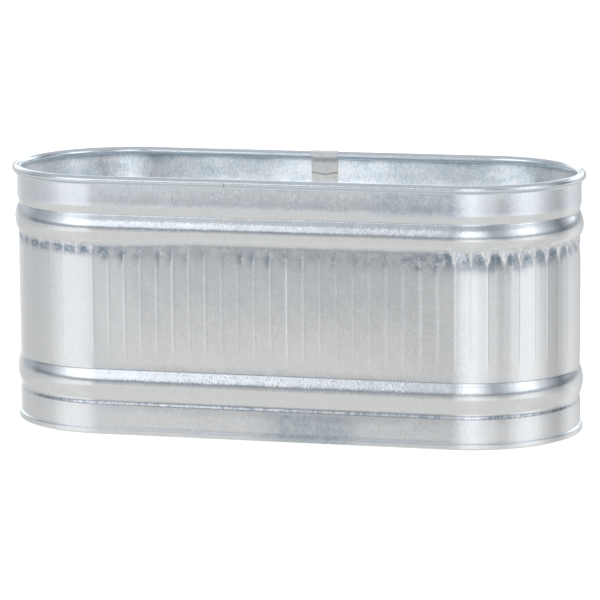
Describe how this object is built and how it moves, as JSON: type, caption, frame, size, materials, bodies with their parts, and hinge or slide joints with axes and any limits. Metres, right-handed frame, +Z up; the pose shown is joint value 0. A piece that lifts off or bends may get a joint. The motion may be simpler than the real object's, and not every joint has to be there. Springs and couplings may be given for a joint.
{
  "type": "trough feeder",
  "caption": "Open round-end galvanised steel trough with a tube rim, rolled beads, a fluted side wall, a double-seamed floor and a screw-in drain plug.",
  "frame": {"origin": "centre of the tank's plan, on the ground. The drain plug stands about 5 mm past the rim on the +Y side, so the box's own centre is about 2.5 mm off in Y.", "axes": "+X along the tank, +Z up, -Y towards the front. The side seam, the rim joint and the drain are on the +Y side."},
  "size_m": [1.2398, 0.4891, 0.5497],
  "materials": {
    "galvanised_sheet": "bright hot-dip galvanised sheet with fine spangle",
    "galvanised_tube": "bright galvanised tube",
    "matt_zinc_paint": "matt grey zinc paint",
    "seam_sealant": "grey seam sealant",
    "black_rubber": "moulded rubber",
    "zinc_plated_steel": "zinc plated",
    "black_plastic": "moulded nylon"
  },
  "bodies": {
    "tank": {"side_wall": "galvanised_sheet", "side_seam_sealant": "seam_sealant", "bottom_pan": "galvanised_sheet", "floor_seam_sealant": "seam_sealant", "rim_tube": "galvanised_tube", "rim_joint_sleeve": "galvanised_tube", "rim_joint_strap": "matt_zinc_paint", "drain_outer_gasket": "black_rubber", "drain_coupling": "zinc_plated_steel", "drain_inner_gasket": "black_rubber", "drain_backing_washer": "zinc_plated_steel", "drain_lock_nut": "zinc_plated_steel"},
    "plug_gasket": {"drain_plug_gasket": "black_rubber"},
    "plug": {"drain_plug": "black_plastic"}
  },
  "joints": [
    {"name": "drain_plug_travel", "type": "slide", "parent": "tank", "child": "plug_gasket", "axis": [0, 1, 0], "range_m": [0, 0.01451]},
    {"name": "drain_plug_turn", "type": "hinge", "parent": "plug_gasket", "child": "plug", "pos_m": [-0.3, 0.2376, 0.0385], "axis": [0, 1, 0], "range_deg": [0, 2880.5]}
  ],
  "couplings": [
    {"joint": "drain_plug_turn", "follows": "drain_plug_travel", "rad_per_m": 3463.7}
  ]
}
